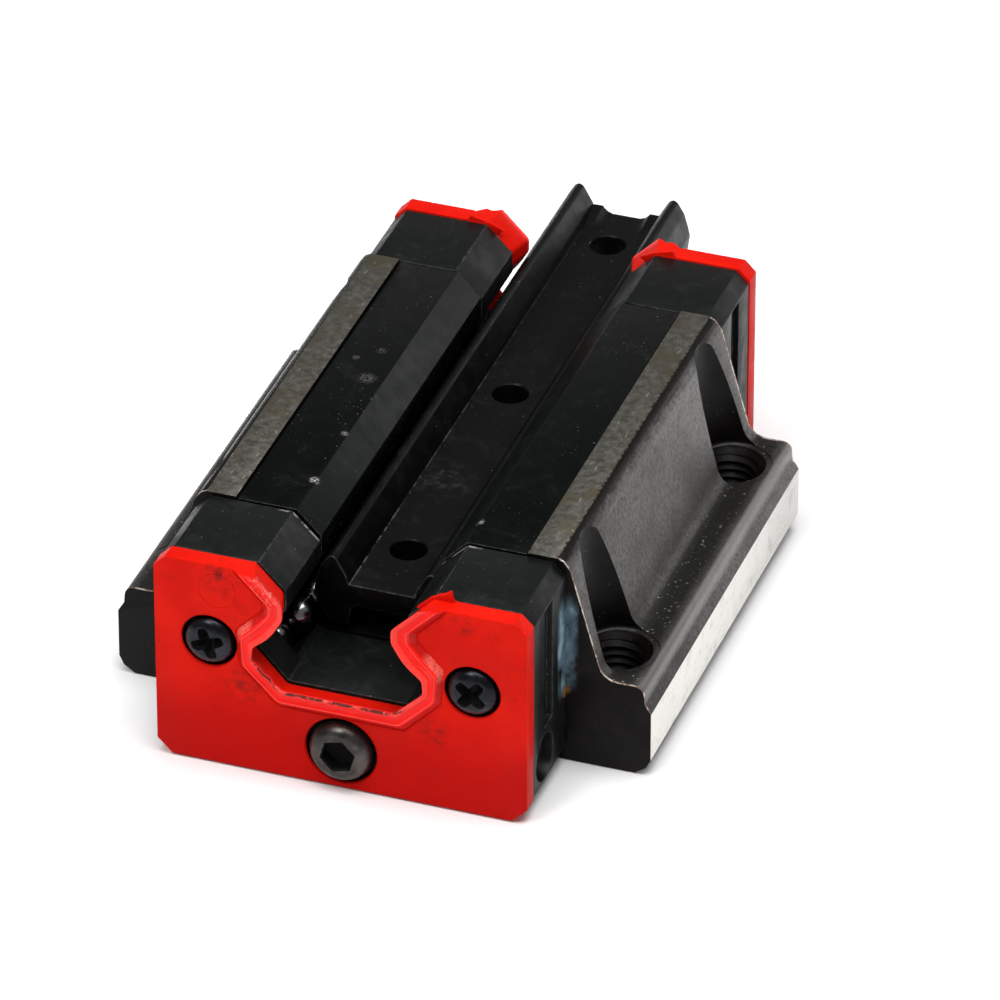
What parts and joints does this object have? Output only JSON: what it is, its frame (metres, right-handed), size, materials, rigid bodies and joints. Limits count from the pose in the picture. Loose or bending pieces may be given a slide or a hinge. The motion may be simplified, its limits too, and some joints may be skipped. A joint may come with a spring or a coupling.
{
  "type": "linear guide carriage",
  "caption": "Flanged recirculating-ball carriage for a profiled rail, with end caps, wiper seals and a removable shipping rail.",
  "frame": {"origin": "centre of the mounting face, which is also the centre of the four tapped holes", "axes": "+X across the flanges, +Y along the travel towards the end where the shipping rail stands out, +Z away from the mounting face, towards the rail side"},
  "size_m": [0.047, 0.0738, 0.0197],
  "materials": {
    "block_steel": "black oxide over drawn steel, bare where ground",
    "seal_red": "moulded red elastomer, semi-matt, smudged",
    "cap_plastic": "moulded black polymer, satin",
    "seal_strip_black": "smooth black strip, semi-gloss",
    "rail_plastic": "moulded black polymer, dull",
    "channel_plastic": "moulded black polymer, dull",
    "screw_black": "blackened screw steel, semi-gloss",
    "ball_steel": "polished bearing steel"
  },
  "bodies": {
    "carriage": {"block": "block_steel", "ball_retainer_upper": "channel_plastic", "bottom_seal_left": "seal_strip_black", "ball_retainer_left": "channel_plastic", "return_tube_left_upper": "channel_plastic", "ball_circuit_left_upper": "ball_steel", "return_tube_left_lower": "channel_plastic", "ball_circuit_left_lower": "ball_steel", "bottom_seal_right": "seal_strip_black", "ball_retainer_right": "channel_plastic", "return_tube_right_upper": "channel_plastic", "ball_circuit_right_upper": "ball_steel", "return_tube_right_lower": "channel_plastic", "ball_circuit_right_lower": "ball_steel", "end_cap_front": "cap_plastic", "end_seal_front": "seal_red", "plug_screw_front": "screw_black", "seal_screw_front_left": "screw_black", "return_guide_front_left_upper": "channel_plastic", "return_guide_front_left_lower": "channel_plastic", "seal_screw_front_right": "screw_black", "return_guide_front_right_upper": "channel_plastic", "return_guide_front_right_lower": "channel_plastic", "end_cap_rear": "cap_plastic", "end_seal_rear": "seal_red", "plug_screw_rear": "screw_black", "seal_screw_rear_left": "screw_black", "return_guide_rear_left_upper": "channel_plastic", "return_guide_rear_left_lower": "channel_plastic", "seal_screw_rear_right": "screw_black", "return_guide_rear_right_upper": "channel_plastic", "return_guide_rear_right_lower": "channel_plastic"},
    "rail": {"dummy_rail": "rail_plastic"}
  },
  "joints": [
    {"name": "dummy_rail_slide", "type": "slide", "parent": "carriage", "child": "rail", "axis": [0, 1, 0], "range_m": [-0.074, 0.051]}
  ]
}
